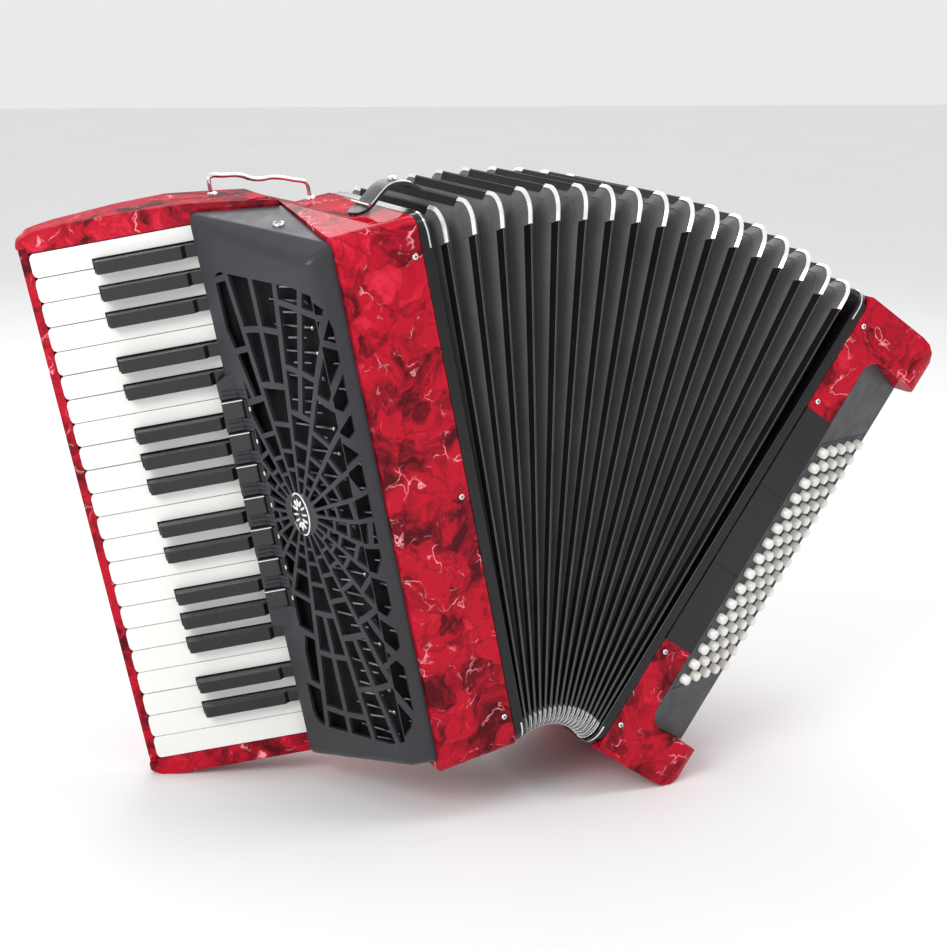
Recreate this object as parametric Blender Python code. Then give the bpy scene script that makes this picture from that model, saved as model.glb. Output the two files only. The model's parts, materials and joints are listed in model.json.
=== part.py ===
"""Piano accordion with 37 treble keys and 80 bass buttons, bellows opened like a fan.

It stands on the outer foot of its keyboard and the outer foot of its bass end. Metres, +Z up,
X to the bass side, front at -Y. The treble half is modelled upright in its own frame and leaned by
an empty. The bass half is modelled the same way round a frame on the hinge line of the bellows.
"""

import math

import bmesh
import bpy
from mathutils import Matrix, Vector

LEAN = math.radians(12.568)
FAN = math.radians(46.5)
TREBLE_AT = (-0.08182, -0.09928, 0.04069)

CASE_WIDTH = 0.065
CASE_DEPTH = 0.185
CASE_HEIGHT = 0.430
CASE_WALL = 0.007
CASE_CORNER = 0.010
GAP = 0.0003

FRAME_THICK = 0.0092
FRAME_RIM = 0.013
FRAME_CORNER = 0.016
FOLDS = 17
CLOSED_BELLOWS = 0.0610
FOLD_DEPTH = 0.014
BELLOWS_WALL = 0.003
BELLOWS_LEFT = CASE_WIDTH + GAP + FRAME_THICK
HINGE_X = BELLOWS_LEFT + CLOSED_BELLOWS / 2

WHITE_KEYS = 22
KEY_PITCH = 0.0195
KEY_GAP = 0.0007
KEY_TURN = math.radians(23.6)
KEYS_AT = (-0.1787, 0.1784)
KEYS_BOTTOM = 0.0127
KEYS_TOP = KEYS_BOTTOM + WHITE_KEYS * KEY_PITCH
KEY_THICK = 0.011
KEY_BACK = 0.170
AXLE_X = 0.160
AXLE_Y = 0.0055
AXLE_RADIUS = 0.0020
BORE_RADIUS = 0.0023
BLACK_FRONT = 0.0470
BLACK_WIDTH = 0.0100
BLACK_HEIGHT = 0.0110
NOTCH_HALF = 0.0058
COVER_START = 0.1180
COVER_CLEAR = 0.0075
SHARP_STEPS = (0, 1, 2, 4, 5)
SHARP_SHIFTS = (0.0016, 0.0, -0.0016, 0.0012, -0.0012)

TABS = 7
TAB_PITCH = 0.0263
TAB_MIDDLE = 0.2212
TAB_HEIGHT = 0.0150

BASS_LEFT = FRAME_THICK + CLOSED_BELLOWS / 2 + GAP
BASS_STRIP = 0.029
BASS_DEEP = 0.0947
BASS_RIGHT = BASS_LEFT + BASS_DEEP
BASS_CORNER = 0.030
CHEEK = 0.040
BOARD_TURN = math.radians(30.0)
BOARD_WIDTH = (BASS_DEEP - BASS_STRIP) / math.cos(BOARD_TURN)
BOARD_THICK = 0.0040
BOARD_CORNER = 0.0140

BUTTON_ROWS = 16
BUTTON_COLUMNS = 5
ROW_PITCH = 0.0145
COLUMN_PITCH = 0.0132
COLUMN_RISE = 0.0069
FIRST_COLUMN = 0.0120
LAST_ROW = 0.0855
BUTTON_RADIUS = 0.0042
BUTTON_HIGH = 0.0065

RED = (0.55, 0.012, 0.030)
BLACK = (0.022, 0.022, 0.025)
IVORY = (0.86, 0.85, 0.80)
STEEL = (0.80, 0.80, 0.82)
LEATHER = (0.030, 0.028, 0.028)
CARD = (0.035, 0.035, 0.037)
WOOD = (0.62, 0.44, 0.25)

for item in list(bpy.data.objects):
    bpy.data.objects.remove(item, do_unlink=True)

parts = bpy.data.collections.new("piano_accordion")
cutters = bpy.data.collections.new("cutters")
bpy.context.scene.collection.children.link(parts)
bpy.context.scene.collection.children.link(cutters)


def empty(name, location, rotation=(0, 0, 0), parent=None):
    """A frame that other pieces are parented to."""
    frame = bpy.data.objects.new(name, None)
    frame.location = location
    frame.rotation_euler = rotation
    frame.parent = parent
    parts.objects.link(frame)
    return frame


def principled(name, colour, roughness, metallic=0.0):
    """A Principled material of its own for one piece."""
    made = bpy.data.materials.new(name)
    made.use_nodes = True
    shader = made.node_tree.nodes["Principled BSDF"]
    shader.inputs["Base Color"].default_value = (*colour, 1.0)
    shader.inputs["Roughness"].default_value = roughness
    shader.inputs["Metallic"].default_value = metallic
    made.diffuse_color = (*colour, 1.0)
    return made


def outline(points, low, high, along="Z"):
    """Mesh of a flat outline, extruded from low to high along an axis.

    The outline's points are (x, y) along Z, (x, z) along Y and (y, z) along X.
    """
    curve = bpy.data.curves.new("outline", "CURVE")
    curve.dimensions = "2D"
    curve.fill_mode = "BOTH"
    curve.extrude = (high - low) / 2
    spline = curve.splines.new("POLY")
    spline.points.add(len(points) - 1)
    for point, (across, up) in zip(spline.points, points):
        point.co = (across, up, 0, 1)
    spline.use_cyclic_u = True
    flat = bpy.data.objects.new("outline", curve)
    cutters.objects.link(flat)
    graph = bpy.context.evaluated_depsgraph_get()
    mesh = bpy.data.meshes.new_from_object(flat.evaluated_get(graph))
    bpy.data.objects.remove(flat, do_unlink=True)
    middle = (low + high) / 2
    turns = {
        "Z": Matrix.Translation((0, 0, middle)),
        "Y": Matrix(((1, 0, 0, 0), (0, 0, -1, middle), (0, 1, 0, 0), (0, 0, 0, 1))),
        "X": Matrix(((0, 0, 1, middle), (1, 0, 0, 0), (0, 1, 0, 0), (0, 0, 0, 1))),
    }
    shape = bmesh.new()
    shape.from_mesh(mesh)
    bmesh.ops.remove_doubles(shape, verts=shape.verts, dist=0.00001)
    bmesh.ops.transform(shape, matrix=turns[along], verts=shape.verts)
    bmesh.ops.recalc_face_normals(shape, faces=shape.faces)
    shape.to_mesh(mesh)
    shape.free()
    return mesh


def box(low, high):
    """Mesh of a box between two corners."""
    shape = bmesh.new()
    bmesh.ops.create_cube(shape, size=1.0)
    size = Vector(high) - Vector(low)
    bmesh.ops.scale(shape, vec=size, verts=shape.verts)
    bmesh.ops.translate(shape, vec=Vector(low) + size / 2, verts=shape.verts)
    mesh = bpy.data.meshes.new("box")
    shape.to_mesh(mesh)
    shape.free()
    return mesh


def hull(points):
    """Mesh of the convex solid round some corner points."""
    shape = bmesh.new()
    for point in points:
        shape.verts.new(point)
    made = bmesh.ops.convex_hull(shape, input=shape.verts)
    spare = [item for item in made["geom_interior"] if isinstance(item, bmesh.types.BMVert)]
    bmesh.ops.delete(shape, geom=spare, context="VERTS")
    bmesh.ops.recalc_face_normals(shape, faces=shape.faces)
    mesh = bpy.data.meshes.new("hull")
    shape.to_mesh(mesh)
    shape.free()
    return mesh


def cylinder(radius, low, high, sides, centre=(0, 0)):
    """Mesh of an upright cylinder."""
    shape = bmesh.new()
    bmesh.ops.create_cone(
        shape, cap_ends=True, segments=sides, radius1=radius, radius2=radius, depth=high - low
    )
    bmesh.ops.translate(shape, vec=(*centre, (low + high) / 2), verts=shape.verts)
    mesh = bpy.data.meshes.new("cylinder")
    shape.to_mesh(mesh)
    shape.free()
    mesh.shade_smooth()
    mesh.set_sharp_from_angle(angle=math.radians(65))
    return mesh


def joined(meshes):
    """One mesh that holds several separate ones."""
    shape = bmesh.new()
    for mesh in meshes:
        shape.from_mesh(mesh)
    made = bpy.data.meshes.new("joined")
    shape.to_mesh(made)
    shape.free()
    return made


def piece(name, mesh, parent, location, colour, roughness, metallic=0.0):
    """A visible piece, whose mesh is given in its parent's frame and is moved to its own origin."""
    mesh.transform(Matrix.Translation(Vector(location)).inverted())
    mesh.name = name
    made = bpy.data.objects.new(name, mesh)
    made.parent = parent
    made.location = location
    made.data.materials.clear()
    made.data.materials.append(principled(name, colour, roughness, metallic))
    parts.objects.link(made)
    return made


def cutter(name, mesh, parent):
    """A hidden helper for a Boolean, in its parent's frame."""
    made = bpy.data.objects.new(name, mesh)
    made.parent = parent
    made.hide_render = True
    made.display_type = "WIRE"
    cutters.objects.link(made)
    return made


def boolean(target, tool, operation="DIFFERENCE"):
    modifier = target.modifiers.new(operation.lower(), "BOOLEAN")
    modifier.object = tool
    modifier.operation = operation
    modifier.solver = "EXACT"


def rounded(left, low, right, high, radii, steps=4):
    """A rectangle with its own radius at each corner: low left, low right, high right, high left."""
    corners = ((left, low), (right, low), (right, high), (left, high))
    inward = ((1, 1), (-1, 1), (-1, -1), (1, -1))
    points = []
    for index, ((x, y), (sx, sy), radius) in enumerate(zip(corners, inward, radii)):
        if radius <= 0:
            points.append((x, y))
            continue
        start = math.pi + index * math.pi / 2
        for step in range(steps + 1):
            angle = start + step * math.pi / 2 / steps
            centre = (x + sx * radius, y + sy * radius)
            points.append(
                (centre[0] + radius * math.cos(angle), centre[1] + radius * math.sin(angle))
            )
    return points


treble = empty("treble_frame", TREBLE_AT, (0, -LEAN, 0))
keyboard = empty("keyboard_frame", (*KEYS_AT, 0), (0, 0, -KEY_TURN), treble)
bass = empty("bass_frame", (HINGE_X, 0, 0), (0, FAN, 0), treble)
board_frame = empty("board_frame", (BASS_LEFT + BASS_STRIP, 0, 0), (0, 0, BOARD_TURN), bass)


# Treble casing, open on the bellows side, with a shoulder that falls from the keyboard's end.
casing_section = rounded(0, 0, CASE_DEPTH, CASE_HEIGHT, (CASE_CORNER,) * 4)
casing = piece(
    "treble_casing", outline(casing_section, 0, CASE_WIDTH, "X"), treble, (0, 0, 0), RED, 0.18
)
shoulder_rise = cutter(
    "shoulder_rise",
    outline(((0, 0.420), (0.038, 0.420), (0.038, 0.4285), (0.016, 0.4390), (0, 0.4470)), 0, 0.184, "Y"),
    treble,
)
shoulder_side = cutter(
    "shoulder_side",
    outline(
        ((0.012, 0.415), (0.180, 0.415), (0.184, 0.4250), (0.182, 0.4400), (0.172, 0.4480),
         (0.110, 0.4480), (0.012, 0.4295)),
        -0.01,
        0.06,
        "X",
    ),
    treble,
)
boolean(shoulder_rise, shoulder_side, "INTERSECT")
boolean(casing, shoulder_rise, "UNION")
boolean(
    casing,
    cutter(
        "casing_hollow",
        box(
            (CASE_WALL, CASE_WALL, CASE_WALL),
            (CASE_WIDTH + 0.02, CASE_DEPTH - CASE_WALL, CASE_HEIGHT - CASE_WALL),
        ),
        treble,
    ),
)

piece(
    "treble_reed_block",
    box((CASE_WALL + GAP, 0.030, 0.030), (0.052, 0.155, 0.400)),
    treble,
    (0.030, 0.0925, 0.215),
    WOOD,
    0.6,
)


def bellows_frame(name, left, parent):
    """The black ring that the bellows is fixed to."""
    ring = rounded(0, 0, CASE_DEPTH, CASE_HEIGHT, (FRAME_CORNER,) * 4)
    inner = rounded(
        FRAME_RIM, FRAME_RIM, CASE_DEPTH - FRAME_RIM, CASE_HEIGHT - FRAME_RIM, (0.006,) * 4, 2
    )
    made = piece(
        name, outline(ring, left, left + FRAME_THICK, "X"), parent, (left, 0, 0), BLACK, 0.35
    )
    window = outline(inner, left - 0.01, left + FRAME_THICK + 0.01, "X")
    boolean(made, cutter(name + "_window", window, parent))


bellows_frame("treble_bellows_frame", CASE_WIDTH + GAP, treble)
bellows_frame("bass_bellows_frame", CLOSED_BELLOWS / 2, bass)


# Bellows: rings of a rounded rectangle, alternately a ridge and a valley, fanned round the hinge.
def divided(ring, longest):
    """A closed ring of points, its long straight runs divided evenly."""
    points = []
    for here, there in zip(ring, ring[1:] + ring[:1]):
        pieces = max(1, round(math.dist(here, there) / longest))
        for step in range(pieces):
            share = step / pieces
            points.append(tuple(a + (b - a) * share for a, b in zip(here, there)))
    return points


def bellows_ring(share, inset):
    """Points of one ring. Share runs from 0 at the treble frame to 1 at the bass frame."""
    across = -CLOSED_BELLOWS / 2 + GAP + share * (CLOSED_BELLOWS - 2 * GAP)
    turn = Matrix.Rotation(share * FAN, 4, "Y")
    radius = max(FRAME_CORNER - inset, 0.002)
    ring = rounded(
        inset, inset, CASE_DEPTH - inset, CASE_HEIGHT - inset, (radius,) * 4, 2
    )
    return [turn @ Vector((across, deep, high)) for deep, high in divided(ring, 0.075)]


def bellows_mesh():
    shape = bmesh.new()
    rings = []
    for side in (0, BELLOWS_WALL):
        loops = []
        for index in range(2 * FOLDS + 1):
            inset = side + (0.001 if index % 2 else FOLD_DEPTH)
            points = bellows_ring(index / (2 * FOLDS), inset)
            loops.append([shape.verts.new(point) for point in points])
        rings.append(loops)
    outer, inner = rings
    path = outer + inner[::-1] + [outer[0]]
    for level, (first, second) in enumerate(zip(path, path[1:])):
        inside = level > 2 * FOLDS
        for here in range(len(first)):
            after = (here + 1) % len(first)
            if inside:
                shape.faces.new((second[here], second[after], first[after]))
                shape.faces.new((second[here], first[after], first[here]))
            else:
                shape.faces.new((first[here], first[after], second[after]))
                shape.faces.new((first[here], second[after], second[here]))
    bmesh.ops.recalc_face_normals(shape, faces=shape.faces)
    mesh = bpy.data.meshes.new("bellows")
    shape.to_mesh(mesh)
    shape.free()
    return mesh


hinge = empty("hinge_frame", (HINGE_X, 0, 0), (0, 0, 0), treble)
piece("bellows", bellows_mesh(), hinge, (0, 0, 0), CARD, 0.55)


# Keyboard body: two end cheeks, an outer rail and a back, in one.
def key_point(along, deep):
    """A point of the keyboard's frame in the treble frame, in plan."""
    cos, sin = math.cos(KEY_TURN), math.sin(KEY_TURN)
    return (KEYS_AT[0] + along * cos + deep * sin, KEYS_AT[1] - along * sin + deep * cos)


bed_plan = (
    key_point(-0.0085, 0.010),
    key_point(-0.0085, 0.002),
    key_point(-0.0065, 0.0),
    key_point(0.1940, 0.0),
    (-GAP, 0.184),
    (-0.060, 0.200),
    (-0.165, 0.200),
    (-0.176, 0.196),
)
bed_front = (
    (-0.1900, 0.012),
    (-0.1860, 0.003),
    (-0.1780, -0.002),
    (-0.1640, -0.0038),
    (0.010, -0.0038),
    (0.010, 0.4465),
    (-0.022, 0.4520),
    (-0.060, 0.4575),
    (-0.100, 0.4595),
    (-0.150, 0.4595),
    (-0.172, 0.4580),
    (-0.183, 0.4530),
    (-0.190, 0.4430),
)
bed = piece(
    "keyboard_bed",
    outline(bed_plan, -0.02, 0.48, "Z"),
    treble,
    (KEYS_AT[0], KEYS_AT[1], 0),
    RED,
    0.18,
)
boolean(bed, cutter("bed_front", outline(bed_front, 0.05, 0.23, "Y"), treble), "INTERSECT")
boolean(
    bed,
    cutter(
        "key_pocket",
        box((-0.0012, -0.05, KEYS_BOTTOM - 0.0005), (0.205, 0.0165, KEYS_TOP + 0.0005)),
        keyboard,
    ),
)
boolean(
    bed,
    cutter(
        "rail_step",
        box((-0.05, -0.05, KEYS_BOTTOM - 0.0045), (-0.0005, 0.0070, KEYS_TOP + 0.0045)),
        keyboard,
    ),
)

axle = cylinder(AXLE_RADIUS, KEYS_BOTTOM - 0.0002, KEYS_TOP + 0.0002, 12, (AXLE_X, AXLE_Y))
piece("key_axle", axle, keyboard, (AXLE_X, AXLE_Y, 0.2272), STEEL, 0.25, 1.0)
axle_bore = cutter(
    "axle_bore",
    cylinder(BORE_RADIUS, KEYS_BOTTOM - 0.02, KEYS_TOP + 0.02, 10, (AXLE_X, AXLE_Y)),
    keyboard,
)


# Keys, from the lowest note at the top of the keyboard downwards.
def sharp_centres():
    """Height of each black key's middle, with the index of the white key above it."""
    found = {}
    for upper in range(WHITE_KEYS - 1):
        if upper % 7 in SHARP_STEPS:
            shift = SHARP_SHIFTS[SHARP_STEPS.index(upper % 7)]
            found[upper] = KEYS_TOP - (upper + 1) * KEY_PITCH + shift
    return found


sharps = sharp_centres()


def white_outline(index):
    """A white key seen from the front: full width at its tip, notched beside black keys."""
    top = KEYS_TOP - index * KEY_PITCH - KEY_GAP / 2
    low = top - KEY_PITCH + KEY_GAP
    notch = BLACK_FRONT - 0.0008
    points = [(0.0032, low)]
    if index in sharps:
        points += [(notch, low), (notch, sharps[index] + NOTCH_HALF)]
        points += [(KEY_BACK, sharps[index] + NOTCH_HALF)]
    else:
        points += [(KEY_BACK, low)]
    if index - 1 in sharps:
        points += [(KEY_BACK, sharps[index - 1] - NOTCH_HALF)]
        points += [(notch, sharps[index - 1] - NOTCH_HALF), (notch, top)]
    else:
        points += [(KEY_BACK, top)]
    points += [(0.0032, top), (0.0009, top - 0.0012), (0.0, top - 0.0042)]
    points += [(0.0, low + 0.0042), (0.0009, low + 0.0012)]
    return points


for index in range(WHITE_KEYS):
    middle = KEYS_TOP - (index + 0.5) * KEY_PITCH
    key = piece(
        f"white_key_{index + 1:02d}",
        outline(white_outline(index), 0, KEY_THICK, "Y"),
        keyboard,
        (AXLE_X, AXLE_Y, middle),
        IVORY,
        0.22,
    )
    boolean(key, axle_bore)

for number, middle in enumerate(sorted(sharps.values(), reverse=True), 1):
    side = (
        (BLACK_FRONT, 0.0010),
        (BLACK_FRONT + 0.0020, -BLACK_HEIGHT + 0.0014),
        (BLACK_FRONT + 0.0042, -BLACK_HEIGHT),
        (COVER_START - 0.0030, -BLACK_HEIGHT + 0.0006),
        (COVER_START, -COVER_CLEAR),
        (KEY_BACK, -COVER_CLEAR),
        (KEY_BACK, KEY_THICK),
        (BLACK_FRONT, KEY_THICK),
    )
    half = BLACK_WIDTH / 2
    key = piece(
        f"black_key_{number:02d}",
        outline(side, middle - half, middle + half, "Z"),
        keyboard,
        (AXLE_X, AXLE_Y, middle),
        BLACK,
        0.35,
    )
    boolean(key, axle_bore)


# Treble grille: a tapered cover over the mechanism, cut by a web of openings.
edge_near_keys = key_point(0.1268, -0.0130)
apex = (-0.0230, 0.0050)
face_length = math.dist(edge_near_keys, apex)
face_turn = math.atan2(apex[1] - edge_near_keys[1], apex[0] - edge_near_keys[0])
grille_shell = 0.0026
top_edge = {"keys": 0.4510, "heel": 0.4510, "bend": 0.4215, "case": 0.4260, "back": 0.4440}
low_edge = {"keys": -0.0030, "heel": -0.0030, "bend": 0.0110, "case": 0.0080, "back": -0.0010}
front_line = apex[1]
BEND_REACH = 0.0110
COVER_ROUND = 0.0080
COVER_STEPS = 3


def face_point(along, deep):
    """A point on the grille's large face, in plan: along from the keys, deep into the cover."""
    cos, sin = math.cos(face_turn), math.sin(face_turn)
    return (
        edge_near_keys[0] + along * cos - deep * sin,
        edge_near_keys[1] + along * sin + deep * cos,
    )


def bend_points(deep):
    """Three points, in plan, of the soft bend between the large face and the front band."""
    start = Vector(face_point(face_length - BEND_REACH, deep))
    corner = Vector(face_point(face_length - deep * 0.55, deep))
    corner.y = max(corner.y, front_line + deep)
    end = Vector((apex[0] + BEND_REACH * 0.8, front_line + deep))
    return start, start * 0.25 + corner * 0.5 + end * 0.25, end


def grille_hull(deep, right, behind, shrink, heel):
    """The cover's outer form, or its hollow when it is inset. Its upper and lower edges are soft."""
    points = []
    for step in range(COVER_STEPS + 1):
        angle = step / COVER_STEPS * math.pi / 2
        inset = COVER_ROUND * (1 - math.cos(angle))
        drop = COVER_ROUND * (1 - math.sin(angle)) + shrink
        bend = bend_points(deep + inset)
        plan = (
            ("keys", face_point(-behind, deep + inset)),
            ("heel", key_point(0.1268, heel)),
            ("bend", bend[0]),
            ("bend", bend[1]),
            ("bend", bend[2]),
            ("case", (right, front_line + deep + inset)),
            ("back", (right, 0.0975 + behind)),
        )
        for name, (x, y) in plan:
            points.append((x, y, top_edge[name] - drop))
            points.append((x, y, low_edge[name] + drop))
    return hull(points)


grille = piece(
    "treble_grille",
    grille_hull(0, -GAP, 0, 0, -0.0006),
    treble,
    (*apex, 0.2180),
    BLACK,
    0.42,
)
boolean(
    grille,
    cutter("grille_hollow", grille_hull(grille_shell, 0.02, 0.03, grille_shell, 0.03), treble),
)

register_plan = (
    (0.1195, -0.0122),
    (0.1195, -0.0175),
    (0.1225, -0.0192),
    (0.1330, -0.0192),
    (0.1420, -0.0275),
    (0.1420, -0.0122),
)
register_low = TAB_MIDDLE - TAB_PITCH * TABS / 2 - 0.004
register_high = TAB_MIDDLE + TAB_PITCH * TABS / 2 + 0.004
register_rise = (
    (0.110, register_low),
    (0.150, register_low - 0.020),
    (0.150, register_high + 0.020),
    (0.110, register_high),
)
register_box = cutter(
    "register_box",
    outline(register_plan, register_low - 0.02, register_high + 0.02, "Z"),
    keyboard,
)
register_ends = cutter("register_ends", outline(register_rise, -0.06, 0.02, "Y"), keyboard)
boolean(register_box, register_ends, "INTERSECT")
boolean(grille, register_box, "UNION")
tab_heights = [TAB_MIDDLE + (TABS - 1 - 2 * index) * TAB_PITCH / 2 for index in range(TABS)]
tab_pockets = []
for height in tab_heights:
    half = TAB_HEIGHT / 2 + 0.0008
    tab_pockets.append(box((0.110, -0.060, height - half), (0.1392, -0.0142, height + half)))
boolean(grille, cutter("tab_pockets", joined(tab_pockets), keyboard))


# Web openings: cells between spokes and broken rings, round a point on the large face. They go on
# past the bend, where the distance along the face is measured round it.
face_frame = empty("face_frame", (*edge_near_keys, 0), (0, 0, face_turn), treble)
WEB_CENTRE = (0.0550, 0.2180)
WEB_SPOKES = 22
WEB_FIRST_RING = 0.0165
WEB_LAST_RING = 0.2400
WEB_GROWTH = 1.42
WEB_STAGGER = (1.0, 1.22, 1.10, 0.90)
WEB_SPLIT = 0.078
WEB_BAR = 0.0020
WEB_BAR_GROWTH = 0.030
WEB_WIDEST_BAR = 0.0048
WEB_SMALLEST = 0.000014
BEND_RIB = (0.0030, 0.0010)


def web_field(left):
    """The outline that the web fills. Its upper side falls toward the bend."""
    corners = rounded(left, 0.0300, 0.1310, 0.4090, (0.012, 0.030, 0.030, 0.008), 3)
    return [(x, z - 0.12 * (x - left) if z > WEB_CENTRE[1] else z) for x, z in corners]


WEB_FIELD = web_field(0.0145)
WEB_BESIDE_TABS = web_field(0.0215)


def clip(points, place, inward):
    """Cuts a convex polygon along the line through a place, and keeps the inward side."""
    kept = []
    for here, there in zip(points, points[1:] + points[:1]):
        side_here = (Vector(here) - place).dot(inward)
        side_there = (Vector(there) - place).dot(inward)
        if side_here >= 0:
            kept.append(here)
        if side_here * side_there < 0:
            share = side_here / (side_here - side_there)
            kept.append(tuple(a + share * (b - a) for a, b in zip(here, there)))
    return kept


def clip_inside(points, limits, margin):
    """The part of a convex polygon that lies inside another one's edges, by a margin."""
    for here, there in zip(limits, limits[1:] + limits[:1]):
        along = (Vector(there) - Vector(here)).normalized()
        inward = Vector((-along.y, along.x))
        if points:
            points = clip(points, Vector(here) + inward * margin, inward)
    return points


def area(points):
    total = 0.0
    for (ax, ay), (bx, by) in zip(points, points[1:] + points[:1]):
        total += ax * by - bx * ay
    return abs(total) / 2


def web_cell(inner, outer, spoke, spokes):
    """The corners of one cell, between two radii and two neighbouring spokes."""
    corners = []
    for radius, side in ((inner, 0), (outer, 0), (outer, 1), (inner, 1)):
        angle = 2 * math.pi * (spoke + side) / spokes
        x = WEB_CENTRE[0] + radius * math.cos(angle)
        z = WEB_CENTRE[1] + radius * math.sin(angle)
        corners.append((x, z))
    return corners


def web_polygons():
    """Every cell that is large enough to cut. Beyond WEB_SPLIT there are twice as many spokes."""
    found = []
    for spoke in range(WEB_SPOKES):
        inner = WEB_FIRST_RING
        outer = inner * 1.80 * WEB_STAGGER[spoke % 4]
        while inner < WEB_LAST_RING:
            split = 2 if inner > WEB_SPLIT else 1
            bar = min(WEB_BAR + WEB_BAR_GROWTH * inner, WEB_WIDEST_BAR)
            for part in range(split):
                cell = web_cell(inner, outer, spoke * split + part, WEB_SPOKES * split)
                beside_tabs = any(register_low - 0.022 < z < register_high + 0.022 for x, z in cell)
                cell = clip_inside(cell, cell, bar / 2)
                cell = clip_inside(cell, WEB_BESIDE_TABS if beside_tabs else WEB_FIELD, 0)
                if len(cell) > 2 and area(cell) > WEB_SMALLEST:
                    found.append(cell)
            inner, outer = outer, outer * WEB_GROWTH
    return found


def web_cutters():
    """Each cell cut square to the large face or, past the rib on the bend, to the front band."""
    on_face, on_band = [], []
    for cell in web_polygons():
        face_part = clip(cell, Vector((face_length - BEND_RIB[0], 0)), Vector((-1, 0)))
        band_part = clip(cell, Vector((face_length + BEND_RIB[1], 0)), Vector((1, 0)))
        if len(face_part) > 2 and area(face_part) > WEB_SMALLEST / 2:
            on_face.append(outline(face_part, -0.004, 0.0068, "Y"))
        if len(band_part) > 2 and area(band_part) > WEB_SMALLEST / 2:
            moved = [(x - face_length + apex[0], z) for x, z in band_part]
            on_band.append(outline(moved, front_line - 0.004, front_line + 0.0068, "Y"))
    return joined(on_face), joined(on_band)


face_openings, band_openings = web_cutters()
boolean(grille, cutter("face_openings", face_openings, face_frame))
boolean(grille, cutter("band_openings", band_openings, treble))

for index, height in enumerate(tab_heights):
    half = TAB_HEIGHT / 2
    section = (
        (0.1202, -0.0155),
        (0.1202, -0.0215),
        (0.1214, -0.0228),
        (0.1362, -0.0228),
        (0.1376, -0.0215),
        (0.1376, -0.0155),
    )
    piece(
        f"register_tab_{index + 1}",
        outline(section, height - half, height + half, "Z"),
        keyboard,
        (0.1289, -0.0165, height),
        BLACK,
        0.25,
    )


# Wire loop for a shoulder strap, over the treble's top rear edge.
def wire(name, points, radius, parent, colour, roughness, metallic):
    curve = bpy.data.curves.new(name, "CURVE")
    curve.dimensions = "3D"
    curve.bevel_depth = radius
    curve.bevel_resolution = 2
    curve.use_fill_caps = True
    spline = curve.splines.new("POLY")
    spline.points.add(len(points) - 1)
    for point, place in zip(spline.points, points):
        point.co = (*place, 1)
    made = bpy.data.objects.new(name, curve)
    made.parent = parent
    curve.materials.append(principled(name, colour, roughness, metallic))
    parts.objects.link(made)
    return made


wire(
    "strap_bracket",
    (
        (-0.0310, 0.1700, 0.4540),
        (-0.0310, 0.1700, 0.4650),
        (-0.0285, 0.1702, 0.4670),
        (-0.0050, 0.1715, 0.4610),
        (0.0040, 0.1720, 0.4560),
        (0.0120, 0.1722, 0.4540),
        (0.0200, 0.1725, 0.4530),
        (0.0440, 0.1738, 0.4440),
        (0.0480, 0.1740, 0.4415),
        (0.0480, 0.1740, 0.4306),
    ),
    0.0019,
    treble,
    STEEL,
    0.15,
    1.0,
)


def strip(path, thick):
    """Outline of a bent strip of even thickness round a path."""
    upper, lower = [], []
    for index, point in enumerate(path):
        before = path[max(index - 1, 0)]
        after = path[min(index + 1, len(path) - 1)]
        along = (Vector(after) - Vector(before)).normalized()
        normal = Vector((-along.y, along.x)) * (thick / 2)
        upper.append(tuple(Vector(point) + normal))
        lower.append(tuple(Vector(point) - normal))
    return upper + lower[::-1]


strap_path = (
    (0.0390, 0.4318),
    (0.0450, 0.4330),
    (0.0510, 0.4372),
    (0.0580, 0.4432),
    (0.0670, 0.4470),
    (0.0760, 0.4474),
    (0.0850, 0.4444),
    (0.0930, 0.4390),
)
piece(
    "bellows_strap",
    outline(strip(strap_path, 0.0024), 0.050, 0.078, "Y"),
    treble,
    (0.060, 0.064, 0.440),
    LEATHER,
    0.5,
)


# Bass casing: a hollow box, its middle cut back to a slanted face between two full cheeks.
strip_right = BASS_LEFT + BASS_STRIP
slant_end = BASS_DEEP - BASS_STRIP
middle_plan = (
    (BASS_LEFT, 0.0),
    (strip_right, 0.0),
    (BASS_RIGHT, slant_end * math.tan(BOARD_TURN)),
    (BASS_RIGHT, CASE_DEPTH),
    (BASS_LEFT, CASE_DEPTH),
)
cheek_plan = [(BASS_LEFT, 0.0)]
for step in range(5):
    angle = -math.pi / 2 + step * math.pi / 8
    cheek_plan.append(
        (BASS_RIGHT - 0.022 + 0.022 * math.cos(angle), 0.022 + 0.022 * math.sin(angle))
    )
cheek_plan += [(BASS_RIGHT, CASE_DEPTH - 0.008), (BASS_RIGHT - 0.008, CASE_DEPTH)]
cheek_plan += [(BASS_LEFT, CASE_DEPTH)]
bass_casing = piece(
    "bass_casing", outline(cheek_plan, 0, CASE_HEIGHT, "Z"), bass, (BASS_LEFT, 0, 0), RED, 0.18
)
board_recess = cutter(
    "board_recess",
    outline(
        rounded(
            0.0, CHEEK, BOARD_WIDTH + 0.03, CASE_HEIGHT - CHEEK, (BOARD_CORNER, 0, 0, BOARD_CORNER)
        ),
        -0.08,
        BOARD_THICK + GAP,
        "Y",
    ),
    board_frame,
)
boolean(bass_casing, board_recess)
bass_front = rounded(
    BASS_LEFT - 0.01, 0, BASS_RIGHT, CASE_HEIGHT, (0, BASS_CORNER, BASS_CORNER, 0), 5
)
bass_round = cutter("bass_round", outline(bass_front, -0.02, 0.21, "Y"), bass)
boolean(bass_casing, bass_round, "INTERSECT")
hollow_plan = (
    (BASS_LEFT - 0.01, 0.008),
    (strip_right - 0.006, 0.008),
    (BASS_RIGHT - 0.008, 0.008 + (slant_end - 0.002) * math.tan(BOARD_TURN) + 0.008),
    (BASS_RIGHT - 0.008, CASE_DEPTH - CASE_WALL),
    (BASS_LEFT - 0.01, CASE_DEPTH - CASE_WALL),
)
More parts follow.
